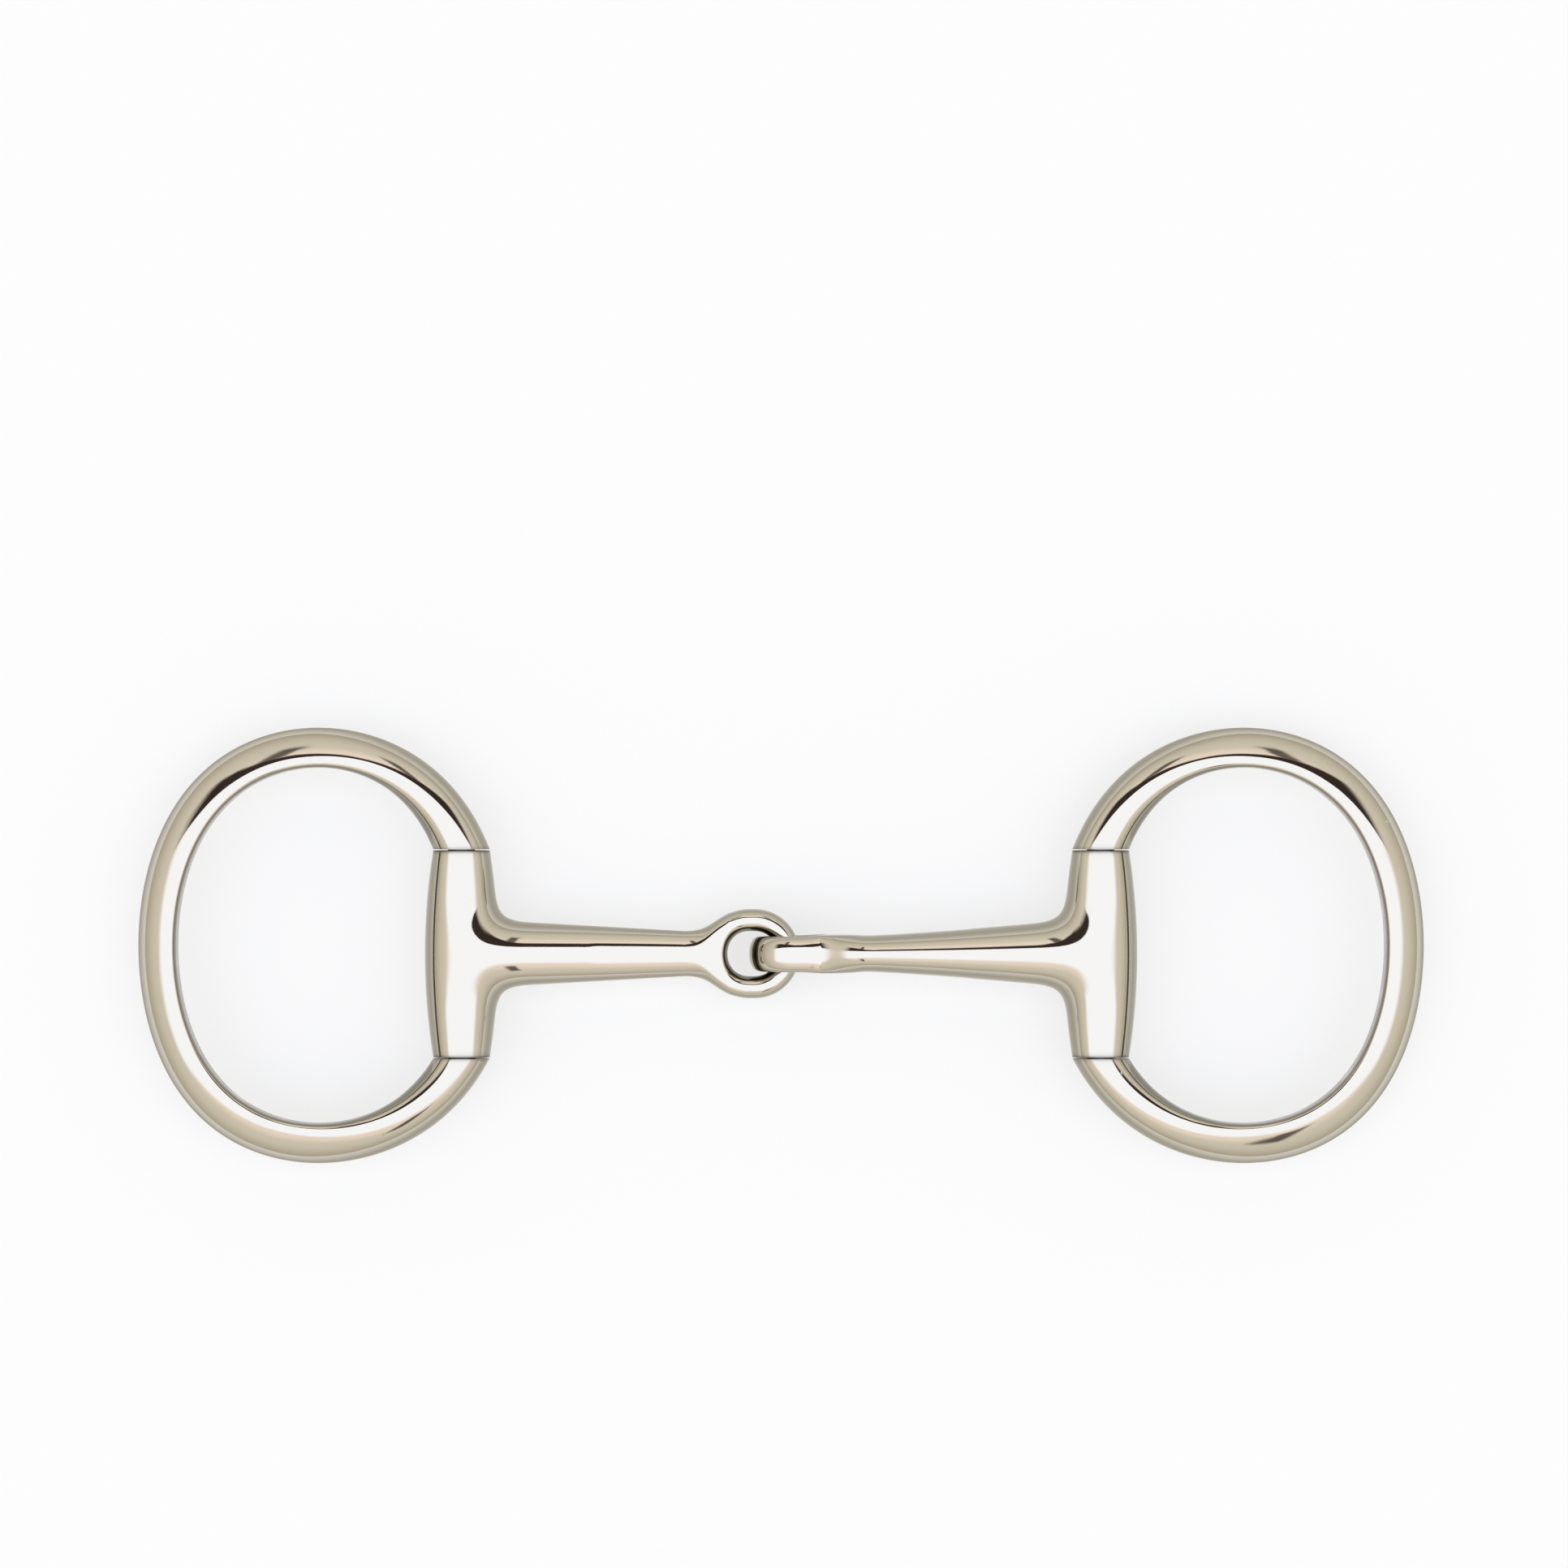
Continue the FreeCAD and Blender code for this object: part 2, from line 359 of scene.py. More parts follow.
@dataclass
class CheekRing:
    """A cheek ring: an oval bar, D-shaped in section, that swells into round shoulders. In millimetres."""

    barrel: Barrel
    reach: float = 70.5
    half_height: float = 47.5
    crown: float = 31.2
    rise: float = 1.8
    squareness: float = 0.45
    band_far: float = 8.5
    band_crown: float = 8.75
    half_depth: float = 4.9
    crest_share: float = 0.24
    inner_power: float = 4.6
    outer_power: float = 1.4
    shoulder_blend: float = 0.45
    # Strength of the painted shade and grime on the bar's inner wall.
    inner_wall_shade_and_grime: float = 0.42
    stations: int = 300
    section_points: int = 80

    def end_angle(self, half_height: float, lobe: int) -> float:
        """Where along an outline's half the shoulder is met.

        Args:
            half_height: The outline's half height.
            lobe: 1 for the upper lobe and -1 for the lower.

        Returns:
            The angle in radians, counted from the far point.
        """
        target = self.barrel.length / 2 + self.barrel.shoulder_gap - lobe * self.rise
        q = self.squareness
        low, high = math.pi / 2, math.pi
        for _ in range(50):
            angle = (low + high) / 2
            above = (half_height + q) * math.sin(angle) + q * math.sin(3 * angle) > target
            low, high = (angle, high) if above else (low, angle)
        return (low + high) / 2

    def outline(
        self, share: Term, reach: Term, height: Term, end: Term, shoulder: Term, inputs: dict[str, Term]
    ) -> tuple[Term, Term]:
        """Nodes for one half outline.

        Args:
            share: 0 at the far point and 1 at the shoulder.
            reach: The outline's reach from the barrel's axis.
            height: Its half height.
            end: Its end angle.
            shoulder: How far from the axis it ends.
            inputs: The tree's inputs by name.

        Returns:
            The distance from the barrel's axis and the height over the ring's middle.
        """
        crown, q = inputs["Crown"], inputs["Squareness"]
        angle = share * end
        cosine = angle.maths("COSINE")
        last = end.maths("COSINE")
        far = reach - crown
        near = shoulder - crown - q * (last - (end * 3.0).maths("COSINE"))
        skew = (near - far * last) / (last * last - last)
        across = crown + (far - skew + skew * cosine) * cosine + q * (cosine - (angle * 3.0).maths("COSINE"))
        up = (height + q) * angle.maths("SINE") + q * (angle * 3.0).maths("SINE")
        return across, up

    def sizes(self, side: Side) -> dict[str, float]:
        """The tree's inputs, lengths in metres.

        Args:
            side: The cheek.

        Returns:
            Input name to value.
        """
        inner = self.half_height - self.band_crown
        return {
            "Reach": self.reach * MM,
            "Half height": self.half_height * MM,
            "Crown": self.crown * MM,
            "Squareness": self.squareness * MM,
            "Rise": (self.rise + self.barrel.axis_y) * MM,
            "Band at far side": self.band_far * MM,
            "Band at crown": self.band_crown * MM,
            "Half depth": self.half_depth * MM,
            "Shoulder radius": self.barrel.end_radius * MM,
            "Crest share": self.crest_share,
            "Inner power": self.inner_power,
            "Outer power": self.outer_power,
            "Shoulder blend": self.shoulder_blend,
            "Outer upper end": self.end_angle(self.half_height, 1),
            "Outer lower end": self.end_angle(self.half_height, -1),
            "Inner upper end": self.end_angle(inner, 1),
            "Inner lower end": self.end_angle(inner, -1),
            "Side": float(side.value),
            "Axis X": self.barrel.axis_x(side) * MM,
            "Axis Z": self.barrel.axis_z * MM,
        }

    def tree(self, names: list[str], material: bpy.types.Material) -> bpy.types.NodeTree:
        """Build the Geometry Nodes tree that sweeps the ring's section round its outlines.

        Args:
            names: The number inputs.
            material: What the ring is made of.

        Returns:
            The tree.
        """
        tree = bpy.data.node_groups.new("cheek_ring", "GeometryNodeTree")
        for name in names:
            tree.interface.new_socket(name, in_out="INPUT", socket_type="NodeSocketFloat")
        tree.interface.new_socket("Ring", in_out="OUTPUT", socket_type="NodeSocketGeometry")
        entry = tree.nodes.new("NodeGroupInput")
        inputs = {name: Term(tree, entry.outputs[name]) for name in names}
        grid = tree.nodes.new("GeometryNodeMeshGrid")
        grid.inputs["Vertices X"].default_value = self.stations
        grid.inputs["Vertices Y"].default_value = self.section_points + 1
        index = Term(tree, tree.nodes.new("GeometryNodeInputIndex").outputs[0])
        row = (index / float(self.section_points + 1) + 1e-4).maths("FLOOR")
        column = index - row * float(self.section_points + 1)
        along = ((row - 1.0) / float(self.stations - 3)).maths("MAXIMUM", 0.0).maths("MINIMUM", 1.0)
        place = self.section(tree, inputs, along * 2.0 - 1.0, column, row)
        moved = tree.nodes.new("GeometryNodeSetPosition")
        tree.links.new(grid.outputs["Mesh"], moved.inputs["Geometry"])
        tree.links.new(place, moved.inputs["Position"])
        merged = tree.nodes.new("GeometryNodeMergeByDistance")
        merged.inputs["Distance"].default_value = 0.002 * MM
        real = tree.nodes.new("GeometryNodeRealizeInstances")
        dressed = tree.nodes.new("GeometryNodeSetMaterial")
        dressed.inputs["Material"].default_value = material
        leave = tree.nodes.new("NodeGroupOutput")
        chain = [moved, merged, real, dressed, leave]
        for one, two in zip(chain, chain[1:]):
            tree.links.new(one.outputs[0], two.inputs[0])
        return tree

    def section(
        self, tree: bpy.types.NodeTree, inputs: dict[str, Term], t: Term, column: Term, row: Term
    ) -> bpy.types.NodeSocket:
        """Nodes for a point of the ring's skin.

        Args:
            tree: The ring's tree.
            inputs: Its inputs by name.
            t: -1 at the lower shoulder and 1 at the upper one.
            column: The point's number round the section.
            row: The section's number, where the first and the last close the ends.

        Returns:
            The point's place.
        """
        upper = t.maths("GREATER_THAN", 0.0)
        lobe = upper * 2.0 - 1.0
        share = t.maths("ABSOLUTE")
        radius = inputs["Shoulder radius"]
        outer = self.outline(
            share, inputs["Reach"], inputs["Half height"],
            upper.mix(inputs["Outer lower end"], inputs["Outer upper end"]), radius * -1.0, inputs,
        )
        inner = self.outline(
            share, inputs["Reach"] - inputs["Band at far side"], inputs["Half height"] - inputs["Band at crown"],
            upper.mix(inputs["Inner lower end"], inputs["Inner upper end"]), radius, inputs,
        )
        rounding = share.ramp(1.0 - inputs["Shoulder blend"], 1.0)
        crest = rounding.mix(inputs["Crest share"], 0.5)
        angle = column * (2 * math.pi / self.section_points) * inputs["Side"]
        cosine, sine = angle.maths("COSINE"), angle.maths("SINE")
        outside = cosine.maths("GREATER_THAN", 0.0)
        power = outside.mix(rounding.mix(inputs["Inner power"], 2.0), rounding.mix(inputs["Outer power"], 2.0))
        exponent = power.maths("POWER", -1.0) * 2.0
        flat = cosine.maths("ABSOLUTE").maths("POWER", exponent)
        deep = sine.maths("ABSOLUTE").maths("POWER", exponent) * sine.maths("SIGN")
        reach = crest + flat * outside.mix(crest * -1.0, 1.0 - crest)
        cap = (row - 0.5 * (self.stations - 1)).maths("ABSOLUTE").maths("LESS_THAN", 0.5 * (self.stations - 1) - 0.5)
        reach = cap.mix(0.5, reach)
        depth = rounding.mix(inputs["Half depth"], radius) * deep * cap
        across = reach.mix(inner[0], outer[0])
        up = reach.mix(inner[1], outer[1]) * lobe
        join = tree.nodes.new("ShaderNodeCombineXYZ")
        tree.links.new((across * inputs["Side"] + inputs["Axis X"]).socket, join.inputs[0])
        tree.links.new((up + inputs["Rise"]).socket, join.inputs[1])
        tree.links.new((depth + inputs["Axis Z"]).socket, join.inputs[2])
        return join.outputs[0]

    def build(self, side: Side, material: bpy.types.Material) -> bpy.types.Object:
        """Make a ring.

        Args:
            side: The cheek it hangs at.
            material: What it is made of.

        Returns:
            The finished piece.
        """
        name = side.name.lower() + "_cheek_ring"
        piece = new_piece(name, bpy.data.meshes.new(name))
        sizes = self.sizes(side)
        modifier = piece.modifiers.new("sweep", "NODES")
        tree = self.tree(list(sizes), material)
        modifier.node_group = tree
        for item in tree.interface.items_tree:
            if item.item_type == "SOCKET" and item.in_out == "INPUT":
                modifier[item.identifier] = sizes[item.name]
        bake(piece)
        self.dress(side, piece.data)
        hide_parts(side.name.lower() + "_ring")
        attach(piece, side.name.lower() + "_cheek")
        return piece

    def dress(self, side: Side, mesh: bpy.types.Mesh) -> None:
        """Smooth the skin and store its painted shade and grime: dark by the shoulder gaps and on the bar's inner
        wall.

        Args:
            side: The cheek.
            mesh: The baked ring.
        """
        mesh.shade_smooth()
        mesh.set_sharp_from_angle(angle=math.radians(60))
        places = places_of(mesh) / MM
        axis_x = self.barrel.axis_x(side)
        past_end = np.abs(places[:, 1] - self.barrel.axis_y) - self.barrel.length / 2
        across = np.abs(places[:, 0] - axis_x)
        near = (across < self.barrel.end_radius + 1) & (past_end > 0)
        # Painted shade with grime: dark close to the shoulder gap.
        gap = np.where(near, np.exp(-np.abs(past_end) / GAP_SHADE_AND_GRIME_REACH_MM), 0.0)
        facing = np.empty(len(mesh.vertices) * 3)
        mesh.vertex_normals.foreach_get("vector", facing)
        middle = np.array([axis_x + side.value * self.crown, self.barrel.axis_y + self.rise])
        inwards = middle - places[:, :2]
        inwards /= np.linalg.norm(inwards, axis=1)[:, None]
        facing_in = (facing.reshape(-1, 3)[:, :2] * inwards).sum(axis=1)
        # Painted shade with grime: dark on the bar's inner wall, which faces the ring's middle.
        wall = np.clip((facing_in - 0.6) / 0.3, 0, 1) * self.inner_wall_shade_and_grime
        store_shade_and_grime(mesh, np.clip(gap + np.where(across > self.barrel.end_radius, wall, 0.0), 0, 1))


@dataclass
class MouthpieceHalf:
    """One casting: the egg-shaped barrel, the tapered cannon and the eye. In millimetres.

    Its own frame has the barrel's middle at the origin and x towards the eye. Flat is the direction
    across the cannon in the eye's plane, and deep the one out of that plane.
    """

    barrel: Barrel
    length: float
    eye_plane: EyePlane
    eye_outer_radius: float = 9.75
    eye_hole_radius: float = 4.9
    eye_straight: float = 1.3
    eye_half_depth: float = 3.95
    eye_power: float = 2.2
    neck_x: float = 48.7
    cheek_flat: float = 7.7
    neck_flat: float = 4.95
    cheek_deep: float = 8.1
    neck_deep: float = 3.95
    taper_bow: float = 0.35
    root_x: float = 2.0
    root_blend: float = 6.0
    barrel_blend: float = 8.2
    eye_blend: float = 6.0
    spare_depth: float = 0.25
    trimmed_from_x: float = 30.0
    free_depth: float = 60.0
    trim_blend: float = 1.0
    # Strength and reach of the painted shade and grime on the eye's hole wall.
    hole_shade_and_grime: float = 0.6
    hole_shade_and_grime_reach: float = 1.2
    voxel: float = 0.45

    @property
    def crest_radius(self) -> float:
        """The radius of the eye's bar, at its middle."""
        return (self.eye_outer_radius + self.eye_hole_radius) / 2

    def turned(self, points: np.ndarray) -> tuple[np.ndarray, np.ndarray, np.ndarray]:
        """Split points into x, flat and deep.

        Args:
            points: Points in the half's own frame.

        Returns:
            The three coordinates.
        """
        x, y, z = points.T
        return (x, y, z) if self.eye_plane is EyePlane.LYING else (x, z, y)

    @staticmethod
    def blend(one: np.ndarray, two: np.ndarray, width: float) -> np.ndarray:
        """The smaller of two distances, with a smooth fillet where they are close."""
        close = np.clip(width - np.abs(one - two), 0, None) / width
        return np.minimum(one, two) - close**3 * width / 6

    def barrel_distance(self, points: np.ndarray) -> np.ndarray:
        """Distance outside the barrel, which has no ends here.

        Args:
            points: Points in the half's own frame.

        Returns:
            The distance at each point, below zero inside.
        """
        x, y, z = points.T
        half = self.barrel.length / 2
        swell = 1 - np.clip(np.abs(y) / half, 0, 1.15) ** 2
        radius = self.barrel.end_radius + (self.barrel.middle_radius - self.barrel.end_radius) * swell
        return np.hypot(x, z) - radius

    def half_deep(self, x: np.ndarray) -> np.ndarray:
        """Half the cannon's depth along it.

        Args:
            x: Places along the cannon.

        Returns:
            The half depth at each.
        """
        share = np.clip(x / self.neck_x, 0, 1)
        bowed = (1 + self.taper_bow) * share - self.taper_bow * share**2
        return self.cheek_deep + (self.neck_deep - self.cheek_deep) * bowed

    def cannon_distance(self, points: np.ndarray) -> np.ndarray:
        """Distance outside the cannon, which ends in the middle of the eye's bar.

        Args:
            points: Points in the half's own frame.

        Returns:
            The distance at each point, below zero inside.
        """
        x, flat, deep = self.turned(points)
        share = np.clip(x / self.neck_x, 0, 1)
        half_flat = self.cheek_flat + (self.neck_flat - self.cheek_flat) * share
        half_deep = self.half_deep(x)
        ratio = np.sqrt((flat / half_flat) ** 2 + (deep / half_deep) ** 2)
        side = (ratio - 1) * np.minimum(half_flat, half_deep)
        end = x - (self.length - self.eye_straight - self.crest_radius)
        start = self.root_x - x
        return np.maximum(-self.blend(-side, -start, self.root_blend), end)

    def eye_distance(self, points: np.ndarray) -> np.ndarray:
        """Distance outside the eye's loop of oval bar.

        Args:
            points: Points in the half's own frame.

        Returns:
            The distance at each point, below zero inside.
        """
        x, flat, deep = self.turned(points)
        from_slot = x - np.clip(x, self.length - self.eye_straight, self.length)
        out = np.hypot(from_slot, flat) - self.crest_radius
        half_width = (self.eye_outer_radius - self.eye_hole_radius) / 2
        power = self.eye_power
        ratio = (np.abs(out / half_width) ** power + np.abs(deep / self.eye_half_depth) ** power) ** (1 / power)
        return (ratio - 1) * half_width

    def distance(self, points: np.ndarray) -> np.ndarray:
        """Distance outside the whole half, fillets included and the swelling at the neck trimmed off.

        Args:
            points: Points in the half's own frame.

        Returns:
            The distance at each point, below zero inside.
        """
        tee = self.blend(self.barrel_distance(points), self.cannon_distance(points), self.barrel_blend)
        whole = self.blend(tee, self.eye_distance(points), self.eye_blend)
        x, _, deep = self.turned(points)
        free = np.clip(1 - x / self.trimmed_from_x, 0, 1) ** 2 * self.free_depth
        allowed = self.half_deep(x) + self.spare_depth + free
        return -self.blend(-whole, allowed - np.abs(deep), self.trim_blend)

    def slope(self, points: np.ndarray) -> np.ndarray:
        """The outward direction in which the distance grows, by central differences.

        Args:
            points: Points in the half's own frame.

        Returns:
            One direction for each point, not of unit length.
        """
        step = 0.01
        parts = []
        for k in range(3):
            shift = np.zeros(3)
            shift[k] = step
            parts.append((self.distance(points + shift) - self.distance(points - shift)) / (2 * step))
        return np.stack(parts, axis=1)

    def settle(self, points: np.ndarray, rounds: int) -> np.ndarray:
        """Move points onto the surface.

        Args:
            points: Points near it.
            rounds: How many steps to take.

        Returns:
            The moved points.
        """
        for _ in range(rounds):
            slope = self.slope(points)
            size = np.maximum((slope**2).sum(axis=1), 0.05)
            step = self.distance(points) / size
            points = points - slope * np.clip(step, -1.5, 1.5)[:, None]
        return points

    def rough_shape(self) -> bpy.types.Mesh:
        """A coarse closed mesh of the barrel, the cannon and the eye, to be remeshed evenly.

        Returns:
            The mesh, in millimetres.
        """
        shape = bmesh.new()
        half = self.barrel.length / 2 + 4
        lathe = [(self.barrel.end_radius, -half), (self.barrel.middle_radius, 0), (self.barrel.end_radius, half)]
        self.tube(shape, [((0, y, 0), (r, 0, 0), (0, 0, r)) for r, y in lathe], True)
        thin, thick, eye_depth = 4.0, 7.5, 4.1
        rows = []
        for x in (0, self.neck_x, self.length - self.eye_straight - self.crest_radius):
            share = min(1, x / self.neck_x)
            flat = self.cheek_flat + (self.neck_flat - self.cheek_flat) * share
            rows.append(((x, 0, 0), (0, flat, 0), (0, 0, thick + (thin - thick) * share)))
        self.tube(shape, rows, True)
        bar = (self.eye_outer_radius - self.eye_hole_radius) / 2
        loop = []
        for i in range(48):
            angle = 2 * math.pi * i / 48
            c, s = math.cos(angle), math.sin(angle)
            centre = self.length - (self.eye_straight if c < 0 else 0)
            place = (centre + self.crest_radius * c, self.crest_radius * s, 0)
            loop.append((place, (bar * c, bar * s, 0), (0, 0, eye_depth)))
        self.tube(shape, loop, False)
        if self.eye_plane is EyePlane.STANDING:
            for vertex in shape.verts[len(lathe) * TUBE_POINTS:]:
                vertex.co = (vertex.co.x, -vertex.co.z, vertex.co.y)
        bmesh.ops.recalc_face_normals(shape, faces=shape.faces)
        mesh = bpy.data.meshes.new("rough")
        shape.to_mesh(mesh)
        shape.free()
        return mesh

    @staticmethod
    def tube(shape: bmesh.types.BMesh, rows: list[tuple], capped: bool) -> None:
        """Add a tube of oval sections.

        Args:
            shape: The mesh it goes in.
            rows: Each section's centre and its two half axes.
            capped: Whether it has two ends; otherwise it closes on itself.
        """
        turns = [2 * math.pi * i / TUBE_POINTS for i in range(TUBE_POINTS)]
        rings = []
        for centre, one, two in rows:
            ring = []
            for turn in turns:
                c, s = math.cos(turn), math.sin(turn)
                ring.append(shape.verts.new([centre[k] + one[k] * c + two[k] * s for k in range(3)]))
            rings.append(ring)
        pairs = list(zip(rings, rings[1:])) + ([] if capped else [(rings[-1], rings[0])])
        for near, far in pairs:
            for i in range(TUBE_POINTS):
                j = (i + 1) % TUBE_POINTS
                shape.faces.new((near[i], near[j], far[j], far[i]))
        if capped:
            shape.faces.new(rings[0][::-1])
            shape.faces.new(rings[-1])

    def even_skin(self) -> bpy.types.Mesh:
        """The rough shape remeshed evenly and settled on the true surface.

        Returns:
            The mesh, in millimetres, with the barrel's ends still too long.
        """
        piece = new_piece("skin", self.rough_shape())
        remesh = piece.modifiers.new("even", "REMESH")
        remesh.mode = "VOXEL"
        remesh.voxel_size = self.voxel
        bake(piece)
        mesh = piece.data
        points = places_of(mesh)
        edges = np.empty(len(mesh.edges) * 2, dtype=np.int64)
        mesh.edges.foreach_get("vertices", edges)
        edges = edges.reshape(-1, 2)
        links = np.bincount(edges.ravel(), minlength=len(points))[:, None]
        points = self.settle(points, 4)
        for _ in range(6):
            total = np.zeros_like(points)
            np.add.at(total, edges[:, 0], points[edges[:, 1]])
            np.add.at(total, edges[:, 1], points[edges[:, 0]])
            points = self.settle(points + 0.6 * (total / links - points), 2)
        points = self.settle(points, 3)
        mesh.vertices.foreach_set("co", points.ravel())
        bpy.data.objects.remove(piece)
        return mesh

    def cut_ends(self, mesh: bpy.types.Mesh) -> None:
        """Cut the barrel's ends flat and bore it for the pin.

        Args:
            mesh: The skin, changed in place.
        """
        half = self.barrel.length / 2
        shape = bmesh.new()
        shape.from_mesh(mesh)
        for sign in (1, -1):
            everything = list(shape.verts) + list(shape.edges) + list(shape.faces)
            bmesh.ops.bisect_plane(
                shape, geom=everything, dist=1e-4, plane_co=(0, sign * half, 0), plane_no=(0, sign, 0),
                clear_outer=True,
            )
            rim = [e for e in shape.edges if e.is_boundary and abs(e.verts[0].co.y - sign * half) < 1e-3]
            self.ring_cap(shape, rim, sign * half)
        self.bore_wall(shape)
        bmesh.ops.recalc_face_normals(shape, faces=shape.faces)
        shape.to_mesh(mesh)
        shape.free()

    def ring_cap(self, shape: bmesh.types.BMesh, rim: list[bmesh.types.BMEdge], y: float) -> None:
        """Fill a flat end with a washer-shaped cap round the bore.

        Args:
            shape: The skin.
            rim: The end's boundary edges.
            y: Where the end is.
        """
        radius = self.barrel.pin_radius + self.barrel.running_gap
        outer = {v for e in rim for v in e.verts}
        twins = {}
        for vertex in outer:
            size = math.hypot(vertex.co.x, vertex.co.z)
            twins[vertex] = shape.verts.new((vertex.co.x * radius / size, y, vertex.co.z * radius / size))
        for edge in rim:
            a, b = edge.verts
            shape.faces.new((a, b, twins[b], twins[a]))

    def bore_wall(self, shape: bmesh.types.BMesh) -> None:
        """Join the two caps through the barrel with the bore's wall.

        Args:
            shape: The skin with its caps.
        """
        loops = [e for e in shape.edges if e.is_boundary]
        bmesh.ops.bridge_loops(shape, edges=loops)

    def dress(self, mesh: bpy.types.Mesh) -> None:
        """Give each corner of each face its true normal, and each vertex its painted shade and grime, dark by the
        barrel's ends and in the eye's hole.

        Args:
            mesh: The finished skin, in millimetres.
        """
        points = places_of(mesh)
        slope = self.slope(points)
        slope /= np.maximum(np.linalg.norm(slope, axis=1), 1e-9)[:, None]
        on_skin = np.abs(self.distance(points)) < 0.02
        mesh.shade_smooth()
        corner = np.empty(len(mesh.loops), dtype=np.int64)
        mesh.loops.foreach_get("vertex_index", corner)
        normals = slope[corner]
        half = self.barrel.length / 2
        for face in mesh.polygons:
            ids = list(face.vertices)
            flat_end = all(abs(abs(points[i][1]) - half) < 1e-3 for i in ids)
            if flat_end or not all(on_skin[i] for i in ids):
                for k in face.loop_indices:
                    normals[k] = face.normal
        mesh.normals_split_custom_set(normals.tolist())
        x, y, _ = points.T
        on_barrel = np.abs(x) < self.barrel.middle_radius + 1
        # Painted shade with grime: dark towards the barrel's ends by the shoulder gaps, and on the eye's hole wall.
        ends = np.exp(-np.clip(half - np.abs(y), 0, None) / GAP_SHADE_AND_GRIME_REACH_MM) * on_barrel
        inside = np.clip(-self.eye_inside(points), 0, 1) * self.hole_shade_and_grime
        store_shade_and_grime(mesh, np.clip(ends + inside, 0, 1))

    def eye_inside(self, points: np.ndarray) -> np.ndarray:
        """Below zero on the inner wall of the eye's hole.

        Args:
            points: Points in the half's own frame.

        Returns:
            A number for each point, below zero on that wall and above it elsewhere.
        """
        x, flat, _ = self.turned(points)
        from_slot = x - np.clip(x, self.length - self.eye_straight, self.length)
        return np.hypot(from_slot, flat) - (self.eye_hole_radius + self.hole_shade_and_grime_reach)

    def build(self, side: Side, material: bpy.types.Material) -> bpy.types.Object:
        """Make a half.

        Args:
            side: The cheek its barrel is at.
            material: What it is made of.

        Returns:
            The finished piece.
        """
        name = side.name.lower() + "_mouthpiece_half"
        mesh = self.even_skin()
        self.cut_ends(mesh)
        mesh.update()
        self.dress(mesh)
        normals = np.empty(len(mesh.loops) * 3)
        mesh.corner_normals.foreach_get("vector", normals)
        normals = normals.reshape(-1, 3)
        flip = np.array([1, 1, 1]) if side is Side.LEFT else np.array([-1, 1, -1])
        centre = np.array([self.barrel.axis_x(side), self.barrel.axis_y, self.barrel.axis_z])
        mesh.vertices.foreach_set("co", ((places_of(mesh) * flip + centre) * MM).ravel())
        mesh.normals_split_custom_set((normals * flip).tolist())
        mesh.materials.clear()
        mesh.materials.append(material)
        mesh.name = name
        piece = new_piece(name, mesh)
        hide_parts(side.name.lower() + "_mouthpiece")
        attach(piece, side.name.lower() + "_arm")
        return piece


@dataclass
class HingePin:
    """The straight pin of one cheek, chamfered at its ends and seated in both shoulders. In millimetres."""

    barrel: Barrel
    seat: float = 3.5
    chamfer: float = 0.3

    def build(self, side: Side, material: bpy.types.Material) -> bpy.types.Object:
        """Make a pin.

        Args:
            side: The cheek it is in.
            material: What it is made of.

        Returns:
            The finished piece.
        """
        name = side.name.lower() + "_pin"
        top = self.barrel.length / 2 + self.barrel.shoulder_gap + self.seat
        radius = self.barrel.pin_radius
        profile = [(0, -top), (radius - self.chamfer, -top), (radius, self.chamfer - top)]
        profile += [(radius, top - self.chamfer), (radius - self.chamfer, top), (0, top)]
        shape = bmesh.new()
        line = [shape.verts.new((r, y, 0)) for r, y in profile]
        edges = [shape.edges.new(pair) for pair in zip(line, line[1:])]
        bmesh.ops.spin(
            shape, geom=line + edges, cent=(0, 0, 0), axis=(0, 1, 0), angle=2 * math.pi, steps=64, use_duplicate=False
        )
        bmesh.ops.remove_doubles(shape, verts=shape.verts, dist=1e-4)
        bmesh.ops.recalc_face_normals(shape, faces=shape.faces)
        for vertex in shape.verts:
            vertex.co.x = (vertex.co.x + self.barrel.axis_x(side)) * MM
            vertex.co.y = (vertex.co.y + self.barrel.axis_y) * MM
            vertex.co.z = (vertex.co.z + self.barrel.axis_z) * MM
        mesh = bpy.data.meshes.new(name)
        shape.to_mesh(mesh)
        shape.free()
        mesh.shade_smooth()
        mesh.set_sharp_from_angle(angle=math.radians(30))
        mesh.materials.append(material)
        # Painted shade with grime at half strength over the whole pin, which sits in the bores and the shoulders.
        store_shade_and_grime(mesh, np.full(len(mesh.vertices), 0.5))
        piece = new_piece(name, mesh)
        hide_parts(side.name.lower() + "_hinge_pin")
        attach(piece, side.name.lower() + "_cheek")
        return piece


